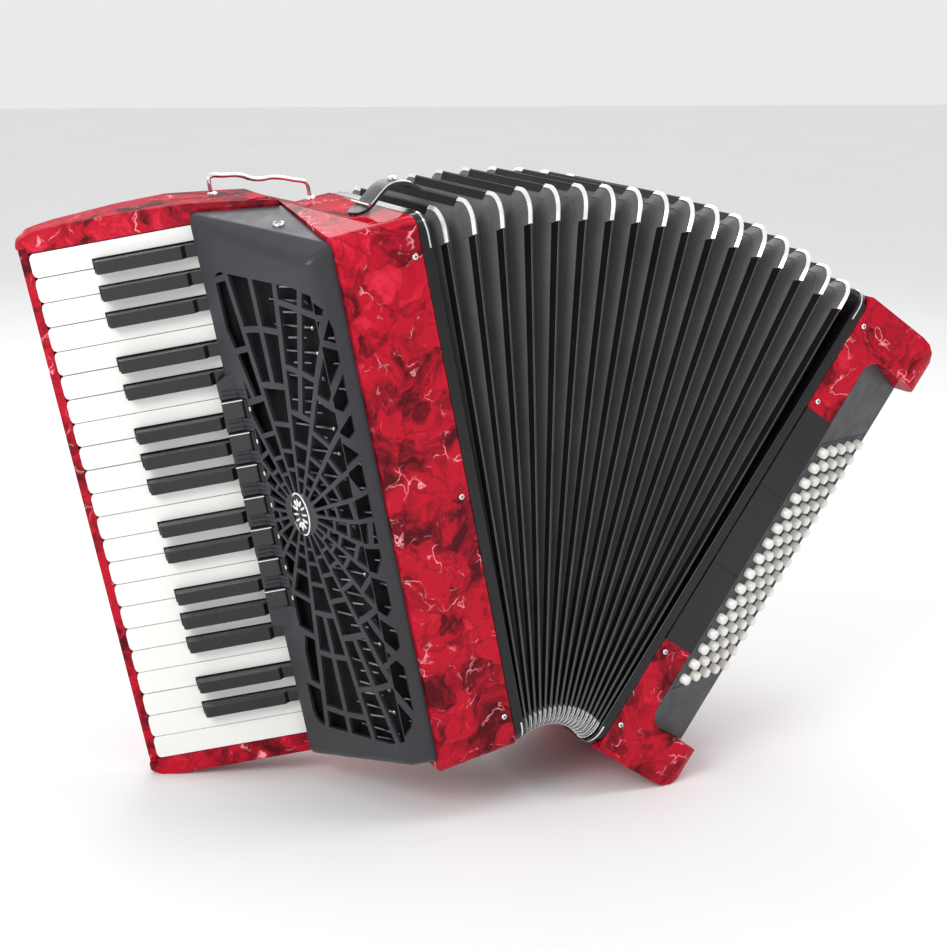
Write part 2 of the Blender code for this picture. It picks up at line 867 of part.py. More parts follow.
bass_hollow = cutter("bass_hollow", outline(hollow_plan, 0.020, 0.410, "Z"), bass)
boolean(bass_casing, bass_hollow)

piece(
    "bass_reed_block",
    box((BASS_LEFT + 0.004, 0.090, 0.050), (BASS_LEFT + 0.060, CASE_DEPTH - CASE_WALL - GAP, 0.380)),
    bass,
    (BASS_LEFT + 0.032, 0.134, 0.215),
    WOOD,
    0.6,
)


def button_height(row, column):
    """Rows count up from the lowest, columns out from the bellows."""
    return LAST_ROW + row * ROW_PITCH + column * COLUMN_RISE


def button_field(margin):
    """The slanted outline round all the buttons."""
    left = FIRST_COLUMN - 0.0070 - margin
    right = FIRST_COLUMN + (BUTTON_COLUMNS - 1) * COLUMN_PITCH + 0.0070 + margin
    slope = COLUMN_RISE / COLUMN_PITCH
    points = []
    for along, row, sign in ((left, 0, -1), (right, 0, -1), (right, 15, 1), (left, 15, 1)):
        height = LAST_ROW + row * ROW_PITCH + (along - FIRST_COLUMN) * slope
        points.append((along, height + sign * (0.0085 + margin)))
    return points


board = piece(
    "bass_button_board",
    outline(
        rounded(
            GAP,
            CHEEK + GAP,
            BOARD_WIDTH - 0.0005,
            CASE_HEIGHT - CHEEK - GAP,
            (BOARD_CORNER, 0, 0, BOARD_CORNER),
        ),
        0,
        BOARD_THICK,
        "Y",
    ),
    board_frame,
    (0, 0, 0.215),
    BLACK,
    0.5,
)
window = cutter("button_window", outline(button_field(0.0004), -0.01, 0.030, "Y"), board_frame)
boolean(board, window)
boolean(bass_casing, window)
buttons = piece(
    "bass_buttons",
    outline(button_field(0), 0.0002, BOARD_THICK, "Y"),
    board_frame,
    (0.0385, 0, 0.208),
    IVORY,
    0.3,
)
studs = []
for row in range(BUTTON_ROWS):
    for column in range(BUTTON_COLUMNS):
        stud = cylinder(BUTTON_RADIUS, -0.002, BUTTON_HIGH, 6)
        stud.transform(Matrix.Rotation(math.pi / 2, 4, "X"))
        along = FIRST_COLUMN + column * COLUMN_PITCH
        stud.transform(Matrix.Translation((along, 0, button_height(row, column))))
        studs.append(stud)
boolean(buttons, cutter("button_studs", joined(studs), board_frame), "UNION")

# Air valve button and hand strap on the bass end's outer face.
air_place = Matrix.Translation((BASS_RIGHT, 0.062, 0.365)) @ Matrix.Rotation(math.pi / 2, 4, "Y")
air_hole = cylinder(0.0062, -0.020, 0.010, 12)
air_hole.transform(air_place)
boolean(bass_casing, cutter("air_hole", air_hole, bass))
air_button = cylinder(0.0058, -0.012, 0.0050, 12)
air_button.transform(air_place)
piece("air_button", air_button, bass, (BASS_RIGHT, 0.062, 0.365), IVORY, 0.3)

hand_path = (
    (BASS_RIGHT + 0.0017, 0.0340),
    (BASS_RIGHT + 0.0019, 0.0520),
    (BASS_RIGHT + 0.0090, 0.0900),
    (BASS_RIGHT + 0.0190, 0.1400),
    (BASS_RIGHT + 0.0250, 0.1900),
    (BASS_RIGHT + 0.0260, 0.2150),
    (BASS_RIGHT + 0.0250, 0.2400),
    (BASS_RIGHT + 0.0190, 0.2900),
    (BASS_RIGHT + 0.0090, 0.3400),
    (BASS_RIGHT + 0.0019, 0.3780),
    (BASS_RIGHT + 0.0017, 0.3960),
)
piece(
    "bass_strap",
    outline(strip(hand_path, 0.0026), 0.092, 0.150, "Y"),
    bass,
    (BASS_RIGHT, 0.121, 0.215),
    LEATHER,
    0.55,
)
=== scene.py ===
"""Looks of the piano accordion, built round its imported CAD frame.

Every length is in metres. Three working frames are read back from the joints: the treble's upright
frame, the bass end's frame on the bellows hinge, and the keyboard's frame.
"""

import json
import math

import bmesh
import bpy
from mathutils import Matrix, Vector


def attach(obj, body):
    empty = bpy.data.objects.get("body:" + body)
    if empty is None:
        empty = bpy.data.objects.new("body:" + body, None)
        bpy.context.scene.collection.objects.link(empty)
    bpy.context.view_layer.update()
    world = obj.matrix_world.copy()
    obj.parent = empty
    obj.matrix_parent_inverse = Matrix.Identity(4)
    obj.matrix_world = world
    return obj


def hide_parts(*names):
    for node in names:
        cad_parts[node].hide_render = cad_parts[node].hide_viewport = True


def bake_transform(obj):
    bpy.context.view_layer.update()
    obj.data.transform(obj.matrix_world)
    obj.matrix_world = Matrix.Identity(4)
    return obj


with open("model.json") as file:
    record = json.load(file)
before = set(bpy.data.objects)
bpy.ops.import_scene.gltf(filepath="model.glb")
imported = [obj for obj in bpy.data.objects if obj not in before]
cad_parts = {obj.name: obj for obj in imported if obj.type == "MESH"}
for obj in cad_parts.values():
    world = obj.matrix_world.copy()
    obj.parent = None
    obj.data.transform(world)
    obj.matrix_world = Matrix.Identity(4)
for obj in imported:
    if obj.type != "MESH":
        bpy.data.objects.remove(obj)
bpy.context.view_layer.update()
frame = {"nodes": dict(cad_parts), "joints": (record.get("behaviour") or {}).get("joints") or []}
joints = {joint["name"]: joint for joint in frame["joints"]}
nodes = frame["nodes"]

# Driving dimensions, the same as the CAD model's.
CASE_WIDTH = 0.065
CASE_DEPTH = 0.185
CASE_HEIGHT = 0.430
FRAME_THICK = 0.0092
FRAME_CORNER = 0.016
CLOSED_BELLOWS = 0.0610
FOLDS = 17
GAP = 0.0003
HINGE_X = CASE_WIDTH + GAP + FRAME_THICK + CLOSED_BELLOWS / 2
KEYS_AT = (-0.1787, 0.1784)
KEY_TURN = math.radians(23.6)
KEYS_BOTTOM = 0.0127
KEY_PITCH = 0.0195
KEYS_TOP = KEYS_BOTTOM + 22 * KEY_PITCH
TAB_MIDDLE = 0.2212
TAB_PITCH = 0.0263
TABS = 7
BASS_LEFT = FRAME_THICK + CLOSED_BELLOWS / 2 + GAP
BASS_STRIP = 0.029
BASS_RIGHT = BASS_LEFT + 0.0947
BOARD_TURN = math.radians(30.0)

# Places of the trim, which the CAD model states as well.
EMBLEM_AT = (0.055, 0.218)
BUTTON_ROWS = 16
BUTTON_COLUMNS = 5
ROW_PITCH = 0.0145
COLUMN_PITCH = 0.0132
COLUMN_RISE = 0.0069
FIRST_COLUMN = 0.0120
LAST_ROW = 0.0855
BUTTON_RADIUS = 0.0042
BUTTON_HIGH = 0.0065
BASS_STRAP_DEEP = 0.121
BELLOWS_STRAP_DEEP = 0.064

CAMERA_AT = (-0.6719, -1.4011, 0.6310)
AIM_AT = (-0.0947, -0.1696, 0.2992)
CAMERA_ROLL = math.radians(1.24)
CAMERA_LENS = 74.81


# Working frames.
def upright_frame():
    """The treble's frame: its Z is the way of the keys' axle, and the hinge gives its place."""
    up = -Vector(joints["white_key_01_press"]["axis"]).normalized()
    turn = Vector((0, 0, 1)).rotation_difference(up).to_matrix().to_4x4()
    hinge_place = Vector(joints["bellows_fan"]["pos_m"])
    offset = turn @ Vector((HINGE_X, CASE_DEPTH / 2, 0))
    return Matrix.Translation(hinge_place - offset) @ turn


def outer_frame(treble_frame):
    """The bass end's frame, on the hinge line, turned so that its X leads out of the air button."""
    outward = -Vector(joints["air_button_press"]["axis"]).normalized()
    turn = Vector((1, 0, 0)).rotation_difference(outward).to_matrix().to_4x4()
    return Matrix.Translation(treble_frame @ Vector((HINGE_X, 0, 0))) @ turn


def turned_about_z(parent, place, angle):
    """A frame at a place of its parent, turned about the parent's Z."""
    return parent @ Matrix.Translation(place) @ Matrix.Rotation(angle, 4, "Z")


def key_point(along, deep):
    """A point of the keyboard's frame, in plan, in the treble's frame."""
    spot = Matrix.Rotation(-KEY_TURN, 2) @ Vector((along, deep))
    return (KEYS_AT[0] + spot.x, KEYS_AT[1] + spot.y)


TREBLE = upright_frame()
BASS = outer_frame(TREBLE)
KEYS = turned_about_z(TREBLE, (*KEYS_AT, 0), -KEY_TURN)
BOARD = turned_about_z(BASS, (BASS_LEFT + BASS_STRIP, 0, 0), BOARD_TURN)
FACE_START = Vector(key_point(0.1268, -0.0130))
FACE_APEX = Vector((-0.0230, 0.0050))
FACE_TURN = math.atan2(*(FACE_APEX - FACE_START).yx)
FACE = turned_about_z(TREBLE, (*FACE_START, 0), FACE_TURN)
HINGE = TREBLE @ Matrix.Translation((HINGE_X, 0, 0))
FAN = math.acos(max(-1.0, min(1.0, (TREBLE.to_3x3().col[0]).dot(BASS.to_3x3().col[0]))))


# Materials.
def node(tree, kind, inputs=None, **settings):
    """Adds a shader node. A socket given as an input is linked, and anything else is its value."""
    made = tree.nodes.new(kind)
    for name, value in settings.items():
        setattr(made, name, value)
    for key, value in (inputs or {}).items():
        if isinstance(value, bpy.types.NodeSocket):
            tree.links.new(value, made.inputs[key])
        else:
            made.inputs[key].default_value = value
    return made


def ramp(tree, factor, stops):
    """Colour ramp, whose stops are (position, colour) or (position, grey)."""
    made = node(tree, "ShaderNodeValToRGB", {"Fac": factor})
    elements = made.color_ramp.elements
    while len(elements) < len(stops):
        elements.new(0.5)
    for element, (position, colour) in zip(elements, stops):
        element.position = position
        level = colour if isinstance(colour, tuple) else (colour,) * 3
        element.color = (*level, 1.0)
    return made.outputs["Color"]


def mixed(tree, factor, first, second):
    made = node(
        tree,
        "ShaderNodeMix",
        {0: factor, 6: first, 7: second},
        data_type="RGBA",
    )
    return made.outputs[2]


def noise(tree, place, scale, detail=3.0, roughness=0.5, distortion=0.0):
    made = node(
        tree,
        "ShaderNodeTexNoise",
        {
            "Vector": place,
            "Scale": scale,
            "Detail": detail,
            "Roughness": roughness,
            "Distortion": distortion,
        },
    )
    return made.outputs["Fac"]


def bump(tree, height, strength, distance):
    made = node(
        tree, "ShaderNodeBump", {"Height": height, "Strength": strength, "Distance": distance}
    )
    return made.outputs["Normal"]


def material(name, values):
    """A new material. Returns it, its tree, its Principled shader and the place to sample at."""
    made = bpy.data.materials.new(name)
    made.use_nodes = True
    tree = made.node_tree
    shader = tree.nodes["Principled BSDF"]
    for key, value in values.items():
        shader.inputs[key].default_value = value
    place = node(tree, "ShaderNodeTexCoord").outputs["Object"]
    return made, tree, shader, place


def voronoi(tree, place, scale, feature="F1"):
    made = node(tree, "ShaderNodeTexVoronoi", {"Vector": place, "Scale": scale}, feature=feature)
    return made.outputs["Distance" if feature == "DISTANCE_TO_EDGE" else "Color"]


def channel(tree, colour, index):
    return node(tree, "ShaderNodeSeparateColor", {0: colour}).outputs[index]


def calculated(tree, operation, *values):
    return node(
        tree, "ShaderNodeMath", dict(enumerate(values)), operation=operation
    ).outputs[0]


def shifted(tree, place, scale, reach):
    """The place moved about by a coloured noise, so that what is drawn there looks torn."""
    drift = node(tree, "ShaderNodeTexNoise", {"Vector": place, "Scale": scale, "Detail": 3.0})
    return node(
        tree,
        "ShaderNodeVectorMath",
        {0: drift.outputs["Color"], 1: (reach, reach, reach), 2: place},
        operation="MULTIPLY_ADD",
    ).outputs["Vector"]


def pearloid(name, dark, deep, base, bright, painted_highlight_colour):
    """Crumpled-foil celluloid: torn patches of several shades, with creases and thin pale pink
    painted highlights.
    """
    made, tree, shader, place = material(
        name,
        {"Coat Weight": 0.26, "Coat Roughness": 0.03, "Specular IOR Level": 0.0, "Roughness": 0.4},
    )
    torn = shifted(tree, shifted(tree, place, 24.0, 0.060), 130.0, 0.009)
    broad = channel(tree, voronoi(tree, torn, 40.0), 0)
    small = channel(tree, voronoi(tree, torn, 105.0), 1)
    cloud = noise(tree, torn, 28.0, 5.0, 0.6, 0.8)
    level = calculated(tree, "MULTIPLY_ADD", broad, 0.24, cloud)
    level = calculated(tree, "MULTIPLY_ADD", small, 0.10, level)
    shades = ramp(
        tree, level, [(0.50, dark), (0.58, deep), (0.68, base), (0.80, base), (0.94, bright)]
    )
    creases = voronoi(tree, torn, 40.0, "DISTANCE_TO_EDGE")
    folds = mixed(tree, ramp(tree, creases, [(0.0, 0.65), (0.06, 0.0)]), shades, (*deep, 1.0))
    # Painted highlight: thin pale pink lines along the edges of a second set of cells, shown where
    # a noise lets them through.
    edges = ramp(tree, voronoi(tree, torn, 46.0, "DISTANCE_TO_EDGE"), [(0.0, 1.0), (0.035, 0.0)])
    spots = ramp(tree, noise(tree, place, 55.0, 3.0), [(0.54, 0.0), (0.66, 1.0)])
    painted_highlight_mask = calculated(tree, "MULTIPLY", edges, spots)
    tree.links.new(mixed(tree, painted_highlight_mask, folds, (*painted_highlight_colour, 1.0)), shader.inputs["Base Color"])
    tree.links.new(bump(tree, level, 0.06, 0.0005), shader.inputs["Normal"])
    return made


def plastic(name, colour, spread, roughness, coat=0.0, grain=0.0, shine=0.5):
    """Moulded plastic with a slow drift of colour and roughness, and fine grain where asked."""
    made, tree, shader, place = material(
        name, {"Coat Weight": coat, "Coat Roughness": 0.06, "Specular IOR Level": shine}
    )
    drift = noise(tree, place, 9.0, 4.0)
    low = tuple(max(0.0, value * (1 - spread)) for value in colour)
    high = tuple(min(1.0, value * (1 + spread)) for value in colour)
    tree.links.new(ramp(tree, drift, [(0.35, low), (0.65, high)]), shader.inputs["Base Color"])
    smear = noise(tree, place, 60.0, 5.0, 0.6)
    rough = ramp(tree, smear, [(0.3, roughness * 0.8), (0.7, roughness * 1.25)])
    tree.links.new(rough, shader.inputs["Roughness"])
    if grain:
        fine = noise(tree, place, 1400.0, 2.0)
        tree.links.new(bump(tree, fine, grain, 0.0002), shader.inputs["Normal"])
    return made


def metal(name, colour, roughness, metallic=1.0):
    """Plated metal with faint smears."""
    made, tree, shader, place = material(name, {"Metallic": metallic})
    smear = noise(tree, place, 90.0, 4.0, 0.6)
    low = tuple(value * 0.88 for value in colour)
    tree.links.new(ramp(tree, smear, [(0.3, low), (0.6, colour)]), shader.inputs["Base Color"])
    rough = ramp(tree, smear, [(0.3, roughness), (0.75, roughness * 2.2)])
    tree.links.new(rough, shader.inputs["Roughness"])
    return made


def cloth(name, low, high, scale, shine=0.3):
    """Book cloth: a fine weave of two crossed waves, worn paler in places."""
    made, tree, shader, place = material(name, {"Roughness": 0.55, "Specular IOR Level": shine})
    wear = noise(tree, place, 22.0, 6.0, 0.65)
    threads = node(
        tree, "ShaderNodeTexWave", {"Vector": place, "Scale": scale, "Distortion": 1.2}
    ).outputs["Fac"]
    crossing = node(
        tree,
        "ShaderNodeTexWave",
        {"Vector": place, "Scale": scale, "Distortion": 1.2},
        bands_direction="Z",
    ).outputs["Fac"]
    weave = calculated(tree, "ADD", threads, crossing)
    tree.links.new(ramp(tree, wear, [(0.35, low), (0.68, high)]), shader.inputs["Base Color"])
    tree.links.new(bump(tree, weave, 0.25, 0.0003), shader.inputs["Normal"])
    return made


def leather(name, low, high, roughness):
    """Leather: pebbled grain from small cells, with creases and worn places."""
    made, tree, shader, place = material(name, {"Coat Weight": 0.15, "Coat Roughness": 0.25})
    cells = node(
        tree, "ShaderNodeTexVoronoi", {"Vector": place, "Scale": 850.0}, feature="F1"
    ).outputs["Distance"]
    wear = noise(tree, place, 45.0, 5.0, 0.6)
    tree.links.new(ramp(tree, wear, [(0.35, low), (0.7, high)]), shader.inputs["Base Color"])
    rough = ramp(tree, wear, [(0.3, roughness * 1.15), (0.7, roughness * 0.8)])
    tree.links.new(rough, shader.inputs["Roughness"])
    tree.links.new(bump(tree, cells, 0.5, 0.0005), shader.inputs["Normal"])
    return made


def wood(name, low, high):
    """Plain wood, its grain along Z."""
    made, tree, shader, place = material(name, {"Roughness": 0.55})
    stretched = node(
        tree, "ShaderNodeMapping", {"Vector": place, "Scale": (90.0, 90.0, 6.0)}
    ).outputs["Vector"]
    grain = noise(tree, stretched, 1.5, 6.0, 0.6, 0.8)
    tree.links.new(ramp(tree, grain, [(0.35, low), (0.65, high)]), shader.inputs["Base Color"])
    tree.links.new(bump(tree, grain, 0.2, 0.0003), shader.inputs["Normal"])
    return made


LOOKS = {
    "red": pearloid(
        "red_pearloid",
        (0.080, 0.002, 0.006),
        (0.220, 0.004, 0.012),
        (0.460, 0.006, 0.022),
        (0.680, 0.022, 0.052),
        # The last colour is the pale pink of the painted highlights.
        (0.95, 0.36, 0.40),
    ),
    "ivory": plastic("ivory_plastic", (0.83, 0.83, 0.80), 0.03, 0.20, 0.4),
    "black_key": plastic("black_key_plastic", (0.010, 0.010, 0.012), 0.25, 0.30, 0.15, 0.0, 0.4),
    "black_gloss": plastic("black_gloss", (0.004, 0.004, 0.005), 0.2, 0.12, 0.3, 0.0, 0.3),
    "grille": plastic("grille_enamel", (0.026, 0.027, 0.032), 0.12, 0.34, 0.0, 0.04, 0.4),
    "frame": plastic("frame_lacquer", (0.003, 0.003, 0.004), 0.2, 0.22, 0.2, 0.0, 0.3),
    "tab": plastic("tab_plastic", (0.014, 0.015, 0.018), 0.15, 0.36, 0.1, 0.03, 0.5),
    "board": plastic("board_plastic", (0.040, 0.042, 0.047), 0.10, 0.45, 0.0, 0.08, 0.35),
    "button": plastic("button_plastic", (0.80, 0.79, 0.74), 0.04, 0.22, 0.3),
    "chrome": metal("chrome", (0.90, 0.90, 0.91), 0.06),
    "corner": metal("corner_nickel", (0.90, 0.90, 0.91), 0.16, 0.55),
    "aluminium": metal("aluminium", (0.42, 0.43, 0.45), 0.25),
    "card": cloth("bellows_cloth", (0.100, 0.100, 0.102), (0.130, 0.130, 0.132), 900.0),
    "tape": cloth("bellows_tape", (0.003, 0.003, 0.003), (0.006, 0.006, 0.006), 1300.0, 0.12),
    "felt": cloth("black_felt", (0.004, 0.004, 0.004), (0.009, 0.009, 0.009), 700.0, 0.05),
    # The dark sheet behind the grille's web, which is painted shade.
    "painted_shade_sheet": cloth("black_painted_shade", (0.006, 0.006, 0.007), (0.012, 0.012, 0.014), 420.0, 0.1),
    "leather": leather("black_leather", (0.008, 0.008, 0.008), (0.024, 0.023, 0.022), 0.36),
    "gusset": leather("gusset_leather", (0.075, 0.072, 0.070), (0.110, 0.106, 0.102), 0.50),
    # White for the register marks, and for the painted highlights along the tabs' upper edges.
    "enamel": plastic("white_enamel_and_painted_highlight", (0.75, 0.76, 0.76), 0.04, 0.3, 0.2),
    "thread": cloth("thread", (0.10, 0.10, 0.10), (0.16, 0.16, 0.16), 2500.0),
    "wood": wood("spruce", (0.42, 0.26, 0.13), (0.62, 0.44, 0.25)),
    "dark_wood": wood("stained_wood", (0.030, 0.018, 0.012), (0.070, 0.040, 0.024)),
}


# Mesh tools.
def rounded(left, low, right, high, radius, steps=6):
    """A rectangle with round corners, as points, counter-clockwise from its low left corner."""
    points = []
    for index, (x, y) in enumerate(((left, low), (right, low), (right, high), (left, high))):
        centre = (
            x + (radius if x == left else -radius),
            y + (radius if y == low else -radius),
        )
        for step in range(steps + 1):
            angle = math.pi + (index + step / steps) * math.pi / 2
            points.append(
                (centre[0] + radius * math.cos(angle), centre[1] + radius * math.sin(angle))
            )
    return points


def prism(points, low, high, along="Z"):
    """Solid between two flat copies of an outline. Points are (x, y), (x, z) or (y, z)."""
    shape = bmesh.new()
    places = {
        "Z": lambda a, b, c: (a, b, c),
        "Y": lambda a, b, c: (a, c, b),
        "X": lambda a, b, c: (c, a, b),
    }
    ends = []
    for level in (low, high):
        ends.append([shape.verts.new(places[along](a, b, level)) for a, b in points])
    shape.faces.new(ends[0])
    shape.faces.new(ends[1][::-1])
    for here in range(len(points)):
        there = (here + 1) % len(points)
        shape.faces.new((ends[0][here], ends[1][here], ends[1][there], ends[0][there]))
    bmesh.ops.recalc_face_normals(shape, faces=shape.faces)
    return shape


def soften(shape, width, segments=2, sharper_than=30.0):
    """Rounds the edges of a bmesh that are sharper than an angle in degrees."""
    sharp = []
    for edge in shape.edges:
        if len(edge.link_faces) == 2 and edge.calc_face_angle(0) > math.radians(sharper_than):
            sharp.append(edge)
    bmesh.ops.bevel(
        shape, geom=sharp, offset=width, segments=segments, affect="EDGES", profile=0.5
    )
    return shape


def turned(profile, steps=24):
    """Solid of revolution about Z, from (radius, height) points that start and end on the axis."""
    shape = bmesh.new()
    verts = [shape.verts.new((radius, 0, height)) for radius, height in profile]
    edges = [shape.edges.new(pair) for pair in zip(verts, verts[1:])]
    bmesh.ops.spin(
        shape,
        geom=verts + edges,
        axis=(0, 0, 1),
        cent=(0, 0, 0),
        angle=2 * math.pi,
        steps=steps,
        use_merge=True,
    )
    bmesh.ops.remove_doubles(shape, verts=shape.verts, dist=0.000001)
    bmesh.ops.recalc_face_normals(shape, faces=shape.faces)
    return shape


def gathered(shapes):
    """One bmesh made of several, which are freed."""
    whole = bmesh.new()
    for shape in shapes:
        mesh = bpy.data.meshes.new("part")
        shape.to_mesh(mesh)
        shape.free()
        whole.from_mesh(mesh)
        bpy.data.meshes.remove(mesh)
    return whole


def placed(shape, *matrices):
    """Moves a bmesh through several matrices, the last one first."""
    whole = Matrix.Identity(4)
    for matrix in matrices:
        whole = whole @ matrix
    shape.transform(whole)
    return shape


def at(x, y, z):
    return Matrix.Translation((x, y, z))


def piece(name, shape, look, body=None, smooth_below=35.0):
    """An object in the row frame from a finished bmesh. With no body, it is left unattached."""
    mesh = bpy.data.meshes.new(name)
    shape.to_mesh(mesh)
    shape.free()
    mesh.shade_smooth()
    mesh.set_sharp_from_angle(angle=math.radians(smooth_below))
    made = bpy.data.objects.new(name, mesh)
    bpy.context.scene.collection.objects.link(made)
    mesh.materials.append(LOOKS[look])
    if body:
        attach(made, body)
    return made


def wire(name, points, radius, look, body):
    """A smooth round wire through points in the row frame."""
    curve = bpy.data.curves.new(name, "CURVE")
    curve.dimensions = "3D"
    curve.bevel_depth = radius
    curve.bevel_resolution = 5
    curve.resolution_u = 10
    curve.use_fill_caps = True
    spline = curve.splines.new("BEZIER")
    spline.bezier_points.add(len(points) - 1)
    for point, place in zip(spline.bezier_points, points):
        point.co = place
        point.handle_left_type = "AUTO"
        point.handle_right_type = "AUTO"
    made = bpy.data.objects.new(name, curve)
    bpy.context.scene.collection.objects.link(made)
    curve.materials.append(LOOKS[look])
    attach(made, body)
    return made


def dress(names, look, width, segments=3, limit=30.0):
    """Gives CAD nodes their material and softens their edges. A width of 0 only smooths them."""
    for name in names:
        target = nodes[name]
        target.data.materials.clear()
        target.data.materials.append(LOOKS[look])
        target.data.shade_smooth()
        weld = target.modifiers.new("weld", "WELD")
        weld.merge_threshold = 0.00002
        if not width:
            target.modifiers.new("shading", "NODES").node_group = SMOOTH_GROUP
            continue
        flat = target.modifiers.new("flat_faces", "DECIMATE")
        flat.decimate_type = "DISSOLVE"
        flat.angle_limit = math.radians(0.3)
        round_off = target.modifiers.new("soft_edges", "BEVEL")
        round_off.width = width
        round_off.segments = segments
        round_off.limit_method = "ANGLE"
        round_off.angle_limit = math.radians(limit)
        shading = target.modifiers.new("shading", "WEIGHTED_NORMAL")
        shading.weight = 100


def smooth_by_angle(angle):
    """Geometry nodes that shade faces smooth, apart from edges sharper than an angle."""
    tree = bpy.data.node_groups.new("smooth_by_angle", "GeometryNodeTree")
    tree.interface.new_socket("Geometry", in_out="INPUT", socket_type="NodeSocketGeometry")
    tree.interface.new_socket("Geometry", in_out="OUTPUT", socket_type="NodeSocketGeometry")
    start = tree.nodes.new("NodeGroupInput")
    end = tree.nodes.new("NodeGroupOutput")
    faces = tree.nodes.new("GeometryNodeSetShadeSmooth")
    edges = tree.nodes.new("GeometryNodeSetShadeSmooth")
    edges.domain = "EDGE"
    measure = tree.nodes.new("GeometryNodeInputMeshEdgeAngle")
    compare = tree.nodes.new("FunctionNodeCompare")
    compare.data_type = "FLOAT"
    compare.operation = "GREATER_THAN"
    compare.inputs["B"].default_value = angle
    tree.links.new(start.outputs[0], faces.inputs["Geometry"])
    tree.links.new(faces.outputs[0], edges.inputs["Geometry"])
    tree.links.new(measure.outputs["Unsigned Angle"], compare.inputs["A"])
    tree.links.new(compare.outputs["Result"], edges.inputs["Selection"])
    edges.inputs["Shade Smooth"].default_value = False
    tree.links.new(edges.outputs[0], end.inputs[0])
    return tree


SMOOTH_GROUP = smooth_by_angle(math.radians(32))


def screw_head(radius):
    """A domed screw head on Z = 0, and the two dark bars of its cross, which are painted shade for
    the cross slot.
    """
    dome = [(0.0, radius * 0.52)]
    for step in range(1, 7):
        angle = step / 6 * math.pi / 2
        dome.append((radius * math.sin(angle), radius * 0.42 * math.cos(angle) + radius * 0.10))
    dome.append((radius, -0.0005))
    dome.append((0.0, -0.0005))
    shapes = [turned(dome, 20)]
    # Two dark bars across the dome: painted shade where the cross slot is.
    long, half = radius * 0.62, radius * 0.13
    for turn in range(2):
        outline = ((-long, -half), (long, -half), (long, half), (-long, half))
        bar = prism(outline, radius * 0.40, radius * 0.535)
        shapes.append(placed(bar, Matrix.Rotation(turn * math.pi / 2 + 0.4, 4, "Z")))
    return shapes


def screws(name, matrices, radius, body):
    """Chrome screw heads, each at a matrix whose Z points out, with dark bars as painted shade in
    each cross slot.
    """
    heads = []
    slot_shade_bars = []
    for matrix in matrices:
        shapes = screw_head(radius)
        heads.append(placed(shapes[0], matrix))
        slot_shade_bars += [placed(shape, matrix) for shape in shapes[1:]]
    piece(name, gathered(heads), "chrome", body)
    # The dark bars are painted shade in the cross slot of each head.
    piece(name + "_slot_shade", gathered(slot_shade_bars), "black_gloss", body)


FORWARD = Matrix.Rotation(math.pi / 2, 4, "X")


# Treble casing, keyboard and grille.
def treble_shells():
    dress(("treble_casing", "keyboard_bed", "bass_casing"), "red", 0.0016, 4, 40.0)
    dress(("treble_grille",), "grille", 0.0005, 2, 42.0)
    dress(("treble_bellows_frame", "bass_bellows_frame"), "frame", 0.0012)
    dress(("treble_reed_block", "bass_reed_block"), "wood", 0.001)
    dress(("key_axle",), "aluminium", 0.0)
    dress(("bass_button_board",), "board", 0.0004)


def keys():
    whites = [f"white_key_{index:02d}" for index in range(1, 23)]
    blacks = [f"black_key_{index:02d}" for index in range(1, 16)]
    dress(whites, "ivory", 0.0009, 3)
    dress(blacks, "black_key", 0.0011, 3)
    outline = rounded(-0.0010, KEYS_BOTTOM - 0.0003, 0.172, KEYS_TOP + 0.0003, 0.0004, 1)
    felt = prism(outline, 0.0156, 0.0163, "Y")
    piece("key_felt", placed(felt, KEYS), "felt", "treble")


def key_face(along, deep):
    """A point of the grille's large face, in plan, in the treble's frame."""
    spot = Matrix.Rotation(FACE_TURN, 2) @ Vector((along, deep))
    return (FACE_START.x + spot.x, FACE_START.y + spot.y)


def cover_levers():
    """What the grille's openings show: a dark sheet that is painted shade for the casing's inside,
    and the valve arms with their pallets.
    """
    near, over, bend = key_face(0.006, 0.0045), key_face(0.0145, 0.0112), key_face(0.098, 0.0125)
    outer = [near, over, bend, (-0.0185, 0.0190), (-0.0012, 0.0190)]
    inner = [(x + 0.0007, y + 0.0005) for x, y in outer]
    # A dark sheet behind the valve arms: painted shade for the inside of the casing.
    painted_shade_sheet = prism(outer + inner[::-1], 0.014, 0.418)
    piece("grille_painted_shade_sheet", placed(painted_shade_sheet, TREBLE), "painted_shade_sheet", "treble")
    arms = []
    pallets = []
    arm_count = 41
    for index in range(arm_count):
        height = 0.0250 + index * KEY_PITCH / 2
        if index % 2:
            near = Vector((*key_face(0.060, 0.0105), height))
            far = Vector((*key_face(0.104, 0.0085), height))
        else:
            near = Vector((*key_face(0.072, 0.0110), height))
            far = Vector((-0.0085, 0.0135, height))
        length = (far - near).length
        rod = turned(((0, 0), (0.0009, 0), (0.0009, length), (0, length)), 10)
        turn = Vector((0, 0, 1)).rotation_difference(far - near).to_matrix().to_4x4()
        arms.append(placed(rod, TREBLE, at(*near), turn))
        knob = turned(
            ((0, -0.0012), (0.0013, -0.0010), (0.0019, 0), (0.0013, 0.0010), (0, 0.0012)), 14
        )
        arms.append(placed(knob, TREBLE, at(*far), turn))
        row = 0.036 if index % 2 else 0.068
        pallet = prism(
            rounded(row - 0.012, height - 0.0040, row + 0.012, height + 0.0040, 0.001, 2),
            -0.0085,
            -0.0030,
            "X",
        )
        pallets.append(placed(soften(pallet, 0.0006), TREBLE))
    piece("valve_arms", gathered(arms), "aluminium", "treble")
    piece("valve_pallets", gathered(pallets), "dark_wood", "treble")


